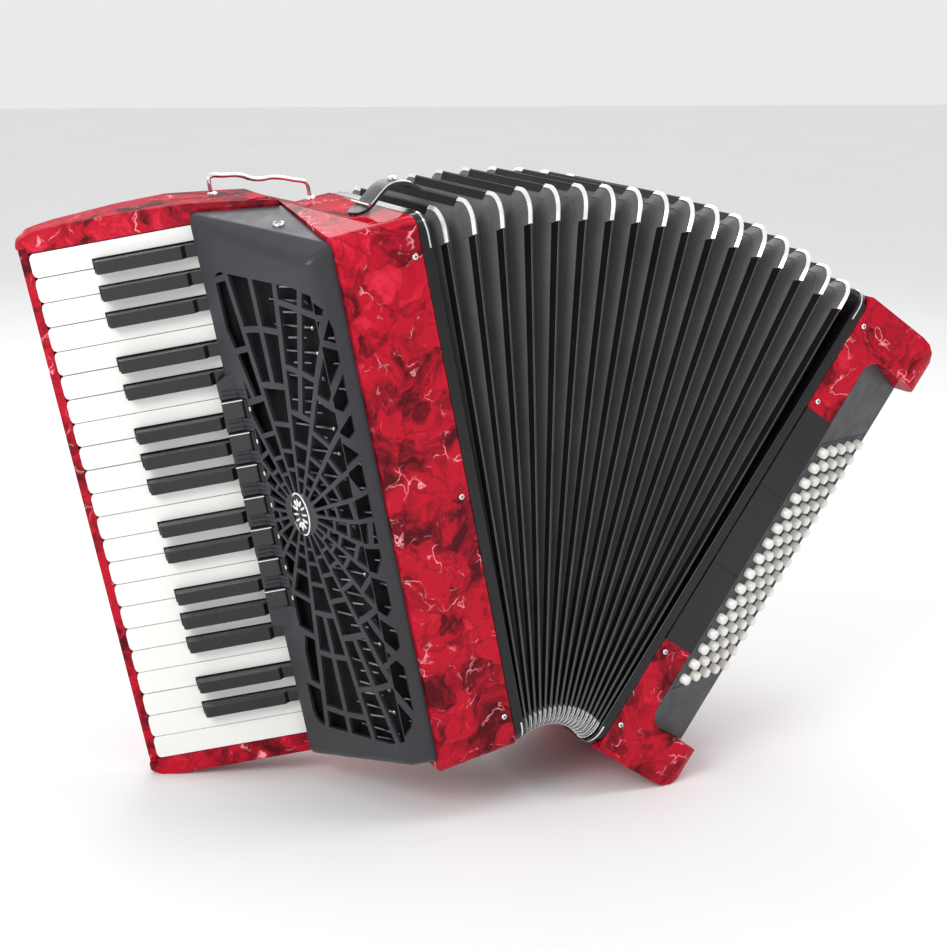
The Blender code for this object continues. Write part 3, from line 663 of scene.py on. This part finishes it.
def rosette():
    """The emblem in the middle of the grille's web: an oval rim round a dark disc with petals."""
    shapes = []
    for across, tall, low, high in (
        (0.0098, 0.0180, -0.0013, 0.0022),
        (0.0086, 0.0166, -0.0016, 0.0),
    ):
        points = []
        for step in range(48):
            angle = 2 * math.pi * step / 48
            x = EMBLEM_AT[0] + across * math.cos(angle)
            points.append((x, EMBLEM_AT[1] + tall * math.sin(angle)))
        shape = prism(points, low, high, "Y")
        soften(shape, 0.0005, 2, 60)
        shapes.append(placed(shape, FACE))
    piece("grille_emblem_rim", shapes[0], "chrome", "treble")
    piece("grille_emblem", shapes[1], "black_gloss", "treble")
    petals = []
    profile = ((0, -0.0005), (0.0010, -0.0004), (0.0012, 0.0), (0.0008, 0.0006), (0, 0.0008))
    stretch = Matrix.Diagonal((1.0, 2.8, 1.0, 1.0))
    for step in range(12):
        angle = 2 * math.pi * step / 12
        petal = turned(profile, 12)
        across = 0.0046 * math.cos(angle)
        spot = (EMBLEM_AT[0] + across, -0.0016, EMBLEM_AT[1] + 0.0100 * math.sin(angle))
        turn = Matrix.Rotation(-(angle - math.pi / 2), 4, "Y")
        petals.append(placed(petal, FACE, at(*spot), turn, FORWARD, stretch))
    piece("grille_emblem_petals", gathered(petals), "chrome", "treble")


def register_trim():
    """The tabs' upper edges with white strips that are painted highlights, the sockets beside them,
    and the ribs and marks between.
    """
    tabs = [f"register_tab_{index}" for index in range(1, TABS + 1)]
    dress(tabs, "tab", 0.0009)
    ribs = []
    sockets = []
    marks = []
    half = 0.0075
    profile = (
        (0.1222, -0.0186),
        (0.1330, -0.0188),
        (0.1405, -0.0258),
        (0.1405, -0.0268),
        (0.1330, -0.0201),
        (0.1222, -0.0199),
    )
    for index, name in enumerate(tabs):
        height = TAB_MIDDLE + (TABS - 1 - 2 * index) * TAB_PITCH / 2
        # A white strip along each tab's upper edge: a painted highlight.
        line = prism(
            rounded(0.1206, height + half - 0.0013, 0.1370, height + half - 0.0006, 0.0003, 2),
            -0.0231,
            -0.0224,
            "Y",
        )
        piece(f"{name}_line", placed(line, KEYS), "enamel", name)
        socket = prism(
            rounded(0.1384, height - half - 0.0006, 0.1412, height + half + 0.0006, 0.0012, 3),
            -0.0272,
            -0.0150,
            "Y",
        )
        sockets.append(placed(soften(socket, 0.0006), KEYS))
        mark = prism(
            ((0.1413, -0.0276), (0.1421, -0.0282), (0.1425, -0.0278), (0.1417, -0.0272)),
            height - 0.0016,
            height + 0.0016,
        )
        marks.append(placed(mark, KEYS))
        for side in (-1, 1):
            middle = height + TAB_PITCH / 2 + side * 0.0017
            rib = prism(profile, middle - 0.0005, middle + 0.0005)
            ribs.append(placed(soften(rib, 0.0002), KEYS))
    piece("register_ribs", gathered(ribs), "black_gloss", "treble")
    piece("register_sockets", gathered(sockets), "black_gloss", "treble")
    piece("register_marks", gathered(marks), "enamel", "treble")


def treble_screws():
    """Three screws down the casing's front, and the grille's thumbscrew on its sloping top."""
    heads = []
    for height in (0.4015, 0.2146, 0.0289):
        heads.append(TREBLE @ at(0.0588, 0, height) @ FORWARD)
    screws("treble_screws", heads, 0.0023, "treble")
    slope = Vector((0, 0, 1)).rotation_difference(Vector((0.040, -0.208, 0.977)))
    place = TREBLE @ at(-0.0170, 0.0635, 0.4376) @ slope.to_matrix().to_4x4()
    screws("cover_thumbscrew", [place], 0.0048, "treble")


# Bellows. The ring's insets at a fold's ridge and valley, and its points at each corner.
RIDGE = 0.0010
VALLEY = 0.0205
RING_STEPS = 6
CORNER_COUNT = RING_STEPS + 3


def ring(inset, steps):
    """Points (deep, high) of a bellows ring, with extra ones beside each round corner."""
    radius = FRAME_CORNER - min(inset, 0.012)
    low, high = inset, CASE_HEIGHT - inset
    front, back = inset, CASE_DEPTH - inset
    points = []
    corners = (
        (front + radius, low + radius, math.pi, 0.003),
        (back - radius, low + radius, 1.5 * math.pi, 0.003),
        (back - radius, high - radius, 0.0, 0.009),
        (front + radius, high - radius, 0.5 * math.pi, 0.009),
    )
    for deep, tall, start, reach in corners:
        lead = Vector((math.cos(start), math.sin(start)))
        trail = Vector((math.cos(start + math.pi / 2), math.sin(start + math.pi / 2)))
        points.append((Vector((deep, tall)) + lead * radius - trail * reach, lead))
        for step in range(steps + 1):
            angle = start + step / steps * math.pi / 2
            away = Vector((math.cos(angle), math.sin(angle)))
            points.append((Vector((deep, tall)) + away * radius, away))
        points.append((Vector((deep, tall)) + trail * radius - lead * reach, trail))
    return points


def ring_point(share, spot, lift=0.0):
    """A ring's point in the row frame. Spot is from ring(), and lift is outward in its plane."""
    across = -CLOSED_BELLOWS / 2 + GAP + share * (CLOSED_BELLOWS - 2 * GAP)
    flat, away = spot
    place = flat + away * lift
    return HINGE @ Matrix.Rotation(share * FAN, 4, "Y") @ Vector((across, place.x, place.y))


def swing_weight(share):
    """How far along a blend lies the place whose smooth weight is this share."""
    return 0.5 - math.sin(math.asin(1 - 2 * share) / 3)


def swing(made, share, spread):
    """Bakes a piece of the bellows into place. It works out a blend length from the share and from
    spread, which is true where the piece's two edges take their own shares, but does not use it.
    """
    along = swing_weight(share)
    length = FAN * CASE_HEIGHT * 6 * along * (1 - along) if spread else 80.0
    if spread:
        length *= 1.0 + CLOSED_BELLOWS / (FAN * CASE_HEIGHT)
    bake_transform(made)


def panel(ridge, valley, name):
    """One half fold: a card ring from the share of a ridge to that of a valley."""
    shares = (ridge, valley)
    outer = ring(RIDGE, RING_STEPS)
    inner = ring(VALLEY, RING_STEPS)
    shape = bmesh.new()
    rows = []
    for step in range(4):
        mix = step / 3
        row = []
        for near, far in zip(outer, inner):
            a = ring_point(shares[0], near)
            b = ring_point(shares[1], far)
            row.append(shape.verts.new(a.lerp(b, mix)))
        rows.append(row)
    for upper, lower in zip(rows, rows[1:]):
        for here in range(len(upper)):
            there = (here + 1) % len(upper)
            shape.faces.new((upper[here], upper[there], lower[there], lower[here]))
    bmesh.ops.recalc_face_normals(shape, faces=shape.faces)
    bmesh.ops.solidify(shape, geom=shape.faces[:], thickness=0.0007)
    made = piece(name, shape, "card", None, 40.0)
    swing(made, sum(shares) / 2, True)
    return made


def skinned(shape, sections):
    """Closes a bmesh along a run of matching loops of vertices, with a cap at each end."""
    for one, two in zip(sections, sections[1:]):
        for here in range(len(one)):
            there = (here + 1) % len(one)
            shape.faces.new((one[here], one[there], two[there], two[here]))
    shape.faces.new(sections[0])
    shape.faces.new(sections[-1][::-1])


def fold_strip(share, reach, lift, chosen, name, look):
    """Strips folded over one ridge, each over a chosen run of the ring's points."""
    step = 0.5 / FOLDS
    outer = ring(RIDGE, RING_STEPS)
    inner = ring(VALLEY, RING_STEPS)
    shape = bmesh.new()
    for run in chosen:
        sections = []
        for index in run:
            crest = ring_point(share, outer[index], lift)
            under = ring_point(share, outer[index], -0.0012)
            section = [under]
            for side in (-1, 1):
                ridge = ring_point(share, outer[index])
                valley = ring_point(share + side * step, inner[index])
                foot = ridge.lerp(valley, reach)
                slope = (valley - ridge).normalized()
                out = ring_point(share + side * step, outer[index]) - foot
                section.append((foot, (out - slope * out.dot(slope)).normalized()))
            left, right = section[1], section[2]
            loop = [
                left[0] - left[1] * 0.0003,
                left[0] + left[1] * lift,
                crest.lerp(left[0] + left[1] * lift, 0.30),
                crest,
                crest.lerp(right[0] + right[1] * lift, 0.30),
                right[0] + right[1] * lift,
                right[0] - right[1] * 0.0003,
                under,
            ]
            sections.append([shape.verts.new(point) for point in loop])
        skinned(shape, sections)
    bmesh.ops.recalc_face_normals(shape, faces=shape.faces)
    made = piece(name, shape, look, None, 45.0)
    swing(made, share, False)
    return made


def bellows():
    """Seventeen folds, each with two panels, ridge tape, leather gussets and chrome corners."""
    corners = [list(range(k * CORNER_COUNT, (k + 1) * CORNER_COUNT)) for k in range(4)]
    straights = [[run[-1], (run[-1] + 1) % (4 * CORNER_COUNT)] for run in corners]
    for fold in range(FOLDS):
        left = fold / FOLDS
        ridge = (fold + 0.5) / FOLDS
        right = (fold + 1) / FOLDS
        panel(ridge, left, f"bellows_panel_{2 * fold + 1:02d}")
        panel(ridge, right, f"bellows_panel_{2 * fold + 2:02d}")
        for kind, reach, lift, runs, look, slot in (
            ("tape", 0.30, 0.0003, straights, "tape", "bellows_card"),
            ("gussets", 0.50, 0.0003, corners[2:], "gusset", "leather"),
            ("corners", 0.10, 0.0009, corners, "corner", "chrome"),
        ):
            fold_strip(ridge, reach, lift, runs, f"bellows_{kind}_{fold + 1:02d}", look)
    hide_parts("bellows")


def frame_corners(name, base, left, body):
    """A fine bright line round each of the four corners of a bellows frame."""
    steps = 8
    count = steps + 3
    spots = ring(0.0, steps)
    shape = bmesh.new()
    for corner in range(4):
        sections = []
        for flat, away in spots[corner * count:(corner + 1) * count]:
            loop = []
            for across, lift in (
                (left - 0.0007, -0.0002),
                (left - 0.0006, 0.0003),
                (left + 0.0006, 0.0003),
                (left + 0.0007, -0.0002),
            ):
                place = flat + away * lift
                loop.append(shape.verts.new((across, place.x, place.y)))
            sections.append(loop)
        skinned(shape, sections)
    bmesh.ops.recalc_face_normals(shape, faces=shape.faces)
    piece(name, placed(shape, base), "chrome", body)


# Straps.
def strap_surface(path, half_width, thick, round_tip, outward):
    """A strap along (x, z) points, its middle on y = 0, with a round tip at its end if asked."""
    lengths = [0.0]
    for one, two in zip(path, path[1:]):
        lengths.append(lengths[-1] + (Vector(two) - Vector(one)).length)
    total = lengths[-1]

    def spot(distance):
        for index in range(len(path) - 1):
            if distance <= lengths[index + 1] or index == len(path) - 2:
                share = (distance - lengths[index]) / (lengths[index + 1] - lengths[index])
                return Vector(path[index]).lerp(Vector(path[index + 1]), share)

    shape = bmesh.new()
    rows = []
    steps = max(24, int(total / 0.004))
    for step in range(steps + 1):
        distance = total * step / steps
        width = half_width
        left = total - distance
        if round_tip and left < half_width:
            width = math.sqrt(max(0.0, half_width ** 2 - (half_width - left) ** 2)) + 0.0004
        here = spot(distance)
        ahead = (spot(min(total, distance + 0.001)) - spot(max(0, distance - 0.001))).normalized()
        normal = Vector((-ahead.y, ahead.x))
        if normal.dot(outward) < 0:
            normal.negate()
        row = []
        for column in range(9):
            side = -1 + column / 4
            crown = normal * (thick * 0.25 * (1 - side * side))
            place = here + crown + normal * thick / 2
            row.append(shape.verts.new((place.x, side * width, place.y)))
        rows.append(row)
    for one, two in zip(rows, rows[1:]):
        for column in range(8):
            shape.faces.new((one[column], one[column + 1], two[column + 1], two[column]))
    bmesh.ops.recalc_face_normals(shape, faces=shape.faces)
    bmesh.ops.solidify(shape, geom=shape.faces[:], thickness=thick)
    bmesh.ops.recalc_face_normals(shape, faces=shape.faces)
    return shape


def smooth_path(points, per_span=8):
    """Catmull-Rom curve through (x, z) points."""
    ends = [points[0], *points, points[-1]]
    made = []
    for a, b, c, d in zip(ends, ends[1:], ends[2:], ends[3:]):
        for step in range(per_span):
            t = step / per_span
            made.append(
                tuple(
                    0.5 * (2 * q + (r - p) * t + (2 * p - 5 * q + 4 * r - s) * t * t
                           + (3 * q - p - 3 * r + s) * t ** 3)
                    for p, q, r, s in zip(a, b, c, d)
                )
            )
    return made + [points[-1]]


def bellows_strap():
    """The leather tongue over the frame, with its bar, a chrome wire along its front edge that is a
    painted highlight, and its snap.
    """
    path = smooth_path(
        (
            (0.0930, 0.4376),
            (0.0860, 0.4434),
            (0.0770, 0.4464),
            (0.0680, 0.4455),
            (0.0590, 0.4400),
            (0.0520, 0.4350),
            (0.0450, 0.4322),
            (0.0380, 0.4311),
        )
    )
    tongue = strap_surface(path, 0.0138, 0.0022, True, Vector((0, 1)))
    tongue = placed(tongue, TREBLE, at(0, BELLOWS_STRAP_DEEP, 0))
    made = piece("bellows_strap_tongue", tongue, "leather", "treble")
    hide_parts("bellows_strap")
    pin = [TREBLE @ Vector((0.0496, deep, 0.4366)) for deep in (0.0490, 0.0640, 0.0840)]
    wire("bellows_strap_pin", pin, 0.0009, "chrome", "treble")
    # A chrome wire along the strap's front edge: a painted highlight on that edge.
    edge = [TREBLE @ Vector((x, 0.0502, z + 0.0018)) for x, z in path[8:44:4]]
    wire("bellows_strap_edge_highlight", edge, 0.0006, "chrome", "treble")
    profile = (
        (0, 0.0016),
        (0.0022, 0.0014),
        (0.0036, 0.0007),
        (0.0042, 0),
        (0.0042, -0.0006),
        (0, -0.0006),
    )
    lean = Matrix.Rotation(math.radians(2), 4, "Y")
    snap = placed(turned(profile, 24), TREBLE, at(0.0775, BELLOWS_STRAP_DEEP, 0.4495), lean)
    piece("bellows_strap_snap", snap, "chrome", "treble")


def bracket():
    """The chrome wire that shoulder straps hook on, and its two feet."""
    points = (
        (-0.0310, 0.1700, 0.4535),
        (-0.0310, 0.1700, 0.4630),
        (-0.0306, 0.1700, 0.4652),
        (-0.0290, 0.1701, 0.4664),
        (-0.0200, 0.1706, 0.4648),
        (-0.0050, 0.1715, 0.4612),
        (0.0040, 0.1720, 0.4562),
        (0.0120, 0.1722, 0.4541),
        (0.0200, 0.1725, 0.4534),
        (0.0400, 0.1736, 0.4460),
        (0.0462, 0.1739, 0.4434),
        (0.0476, 0.1740, 0.4418),
        (0.0480, 0.1740, 0.4396),
        (0.0480, 0.1740, 0.4302),
    )
    route = [TREBLE @ Vector(point) for point in points]
    made = wire("strap_bracket_wire", route, 0.0019, "chrome", "treble")
    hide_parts("strap_bracket")
    flanges = []
    profile = ((0, 0.0018), (0.0026, 0.0018), (0.0042, 0.0008), (0.0046, 0.0), (0, 0.0))
    for x, y, z in ((-0.0310, 0.1700, 0.4528), (0.0480, 0.1740, 0.4300)):
        flanges.append(placed(turned(profile, 24), TREBLE, at(x, y, z)))
    piece("strap_bracket_feet", gathered(flanges), "chrome", "treble")


# Bass end.
def bass_panels():
    """Three black panels down the front strip, and the strip's four screws."""
    panels = []
    left, right = BASS_LEFT - 0.0002, BASS_LEFT + BASS_STRIP + 0.0004
    for index in range(3):
        low = 0.1055 + index * 0.0734
        plate = prism(rounded(left, low, right, low + 0.0734, 0.0003, 3), -0.0008, 0.0010, "Y")
        soften(plate, 0.0004)
        panels.append(placed(plate, BASS))
    piece("bass_front_panels", gathered(panels), "black_gloss", "bass", 20.0)
    heads = []
    for height in (0.4060, 0.3340, 0.0960, 0.0270):
        heads.append(BASS @ at(0.0465, 0, height) @ FORWARD)
    screws("bass_screws", heads, 0.0023, "bass")


def perforated(outlines, thick):
    """A plate about Z = 0 from an outline and, after it, the outlines of its holes."""
    curve = bpy.data.curves.new("plate", "CURVE")
    curve.dimensions = "2D"
    curve.fill_mode = "BOTH"
    curve.extrude = thick / 2
    for points in outlines:
        spline = curve.splines.new("POLY")
        spline.points.add(len(points) - 1)
        spline.use_cyclic_u = True
        for point, (x, y) in zip(spline.points, points):
            point.co = (x, y, 0, 1)
    holder = bpy.data.objects.new("plate", curve)
    mesh = bpy.data.meshes.new_from_object(holder)
    shape = bmesh.new()
    shape.from_mesh(mesh)
    bpy.data.meshes.remove(mesh)
    bpy.data.objects.remove(holder)
    bmesh.ops.remove_doubles(shape, verts=shape.verts, dist=0.000001)
    bmesh.ops.recalc_face_normals(shape, faces=shape.faces)
    return shape


def buttons():
    """Eighty domed buttons on one comb, and the pierced plate that they stand in."""
    studs = []
    holes = []
    profile = (
        (0, BUTTON_HIGH),
        (0.0024, 0.0064),
        (0.0034, 0.0061),
        (0.0039, 0.0055),
        (BUTTON_RADIUS, 0.0045),
        (BUTTON_RADIUS, -0.0035),
        (0, -0.0035),
    )
    hole = 0.0047
    for row in range(BUTTON_ROWS):
        for column in range(BUTTON_COLUMNS):
            along = FIRST_COLUMN + column * COLUMN_PITCH
            height = LAST_ROW + row * ROW_PITCH + column * COLUMN_RISE
            studs.append(placed(turned(profile, 20), BOARD, at(along, 0, height), FORWARD))
            circle = []
            for step in range(20):
                angle = 2 * math.pi * step / 20
                circle.append((along + hole * math.cos(angle), height + hole * math.sin(angle)))
            holes.append(circle)
    made = piece("bass_button_studs", gathered(studs), "button", "bass_buttons")
    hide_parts("bass_buttons")
    slope = COLUMN_RISE / COLUMN_PITCH
    top = BUTTON_ROWS - 1
    points = []
    for along, row, sign in ((0.0052, 0, -1), (0.0716, 0, -1), (0.0716, top, 1), (0.0052, top, 1)):
        height = LAST_ROW + row * ROW_PITCH + (along - FIRST_COLUMN) * slope
        points.append((along, height + sign * 0.0083))
    plate = placed(perforated([points, *holes], 0.0034), BOARD, at(0, 0.0019, 0), FORWARD)
    piece("bass_button_plate", plate, "board", "bass")
    dress(("air_button",), "button", 0.0012, 3)


def bass_strap():
    """The hand strap down the outer side, with its pad, stitches, end plates and screws."""
    offsets = (
        (0.0006, 0.0345),
        (0.0007, 0.0520),
        (0.0078, 0.0900),
        (0.0178, 0.1400),
        (0.0238, 0.1900),
        (0.0248, 0.2150),
        (0.0238, 0.2400),
        (0.0178, 0.2900),
        (0.0078, 0.3400),
        (0.0007, 0.3780),
        (0.0006, 0.3955),
    )
    path = smooth_path([(BASS_RIGHT + x, z) for x, z in offsets][::-1])
    middle = at(0, BASS_STRAP_DEEP, 0)
    band = strap_surface(path, 0.0288, 0.0025, False, Vector((1, 0)))
    made = piece("bass_hand_strap", placed(band, BASS, middle), "leather", "bass")
    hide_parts("bass_strap")
    pad = strap_surface(path[10:-10], 0.0215, 0.0045, False, Vector((1, 0)))
    soften(pad, 0.0012)
    piece("bass_strap_pad", placed(pad, BASS, middle), "leather", "bass")
    stitches = []
    for one, two in zip(path[2:-2], path[3:-2]):
        here, there = Vector(one), Vector(two)
        count = max(1, round((there - here).length / 0.0045))
        lean = Matrix.Rotation(math.atan2(there.x - here.x, there.y - here.y), 4, "Y")
        for number in range(count):
            spot = here.lerp(there, number / count)
            for side in (-1, 1):
                stitch = turned(((0, 0), (0.0004, 0.0003), (0.0004, 0.0027), (0, 0.0030)), 8)
                deep = BASS_STRAP_DEEP + side * 0.0258
                stitches.append(placed(stitch, BASS, at(spot.x + 0.0028, deep, spot.y), lean))
    piece("bass_strap_stitches", gathered(stitches), "thread", "bass")
    plates = []
    heads = []
    under, over = BASS_RIGHT + 0.0032, BASS_RIGHT + 0.0046
    sideways = Matrix.Rotation(math.pi / 2, 4, "Y")
    for height in (0.0385, 0.3915):
        outline = rounded(0.0915, height - 0.0065, 0.1505, height + 0.0065, 0.003, 4)
        plate = prism(outline, under, over, "X")
        soften(plate, 0.0004)
        plates.append(placed(plate, BASS))
        for deep in (0.1000, 0.1420):
            heads.append(BASS @ at(over, deep, height) @ sideways)
    piece("bass_strap_plates", gathered(plates), "chrome", "bass")
    screws("bass_strap_screws", heads, 0.0026, "bass")


treble_shells()
keys()
cover_levers()
rosette()
register_trim()
treble_screws()
bellows()
frame_corners("treble_frame_corners", TREBLE, CASE_WIDTH + GAP + 0.0066, "treble")
frame_corners("bass_frame_corners", BASS, CLOSED_BELLOWS / 2 + 0.0026, "bass")
bellows_strap()
bracket()
bass_panels()
buttons()
bass_strap()


# Floor, light and camera.
def studio():
    """A pale floor under an even sky, with three soft lamps."""
    made, tree, shader, place = material("floor", {"Roughness": 0.6, "Specular IOR Level": 0.2})
    tone = noise(tree, place, 3.0, 3.0)
    tree.links.new(
        ramp(tree, tone, [(0.3, (0.86, 0.86, 0.86)), (0.7, (0.88, 0.88, 0.88))]),
        shader.inputs["Base Color"],
    )
    shape = bmesh.new()
    bmesh.ops.create_grid(shape, x_segments=1, y_segments=1, size=9.0)
    mesh = bpy.data.meshes.new("floor")
    shape.to_mesh(mesh)
    shape.free()
    floor = bpy.data.objects.new("floor", mesh)
    mesh.materials.append(made)
    bpy.context.scene.collection.objects.link(floor)
    world = bpy.data.worlds.new("studio")
    world.use_nodes = True
    world.node_tree.nodes["Background"].inputs["Color"].default_value = (0.83, 0.83, 0.84, 1.0)
    bpy.context.scene.world = world
    bpy.context.scene.view_settings.view_transform = "Standard"
    for name, place, size, power in (
        ("key_light", (-1.9, -1.2, 1.5), 1.0, 30.0),
        ("top_light", (0.85, -0.35, 2.3), 1.2, 14.0),
        ("back_light", (0.5, 1.8, 1.6), 1.4, 12.0),
    ):
        data = bpy.data.lights.new(name, "AREA")
        data.size = size
        data.energy = power
        lamp = bpy.data.objects.new(name, data)
        lamp.location = place
        aim = Vector((0, 0, 0.25)) - Vector(place)
        lamp.rotation_euler = aim.to_track_quat("-Z", "Y").to_euler()
        bpy.context.scene.collection.objects.link(lamp)


def camera():
    """The camera, by its place, its aim and a small roll."""
    data = bpy.data.cameras.new("camera")
    data.sensor_width = 36.0
    data.lens = CAMERA_LENS
    made = bpy.data.objects.new("camera", data)
    aim = Vector(AIM_AT) - Vector(CAMERA_AT)
    turn = aim.to_track_quat("-Z", "Y").to_matrix() @ Matrix.Rotation(CAMERA_ROLL, 3, "Z")
    made.matrix_world = Matrix.Translation(CAMERA_AT) @ turn.to_4x4()
    bpy.context.scene.collection.objects.link(made)
    bpy.context.scene.camera = made


studio()
camera()
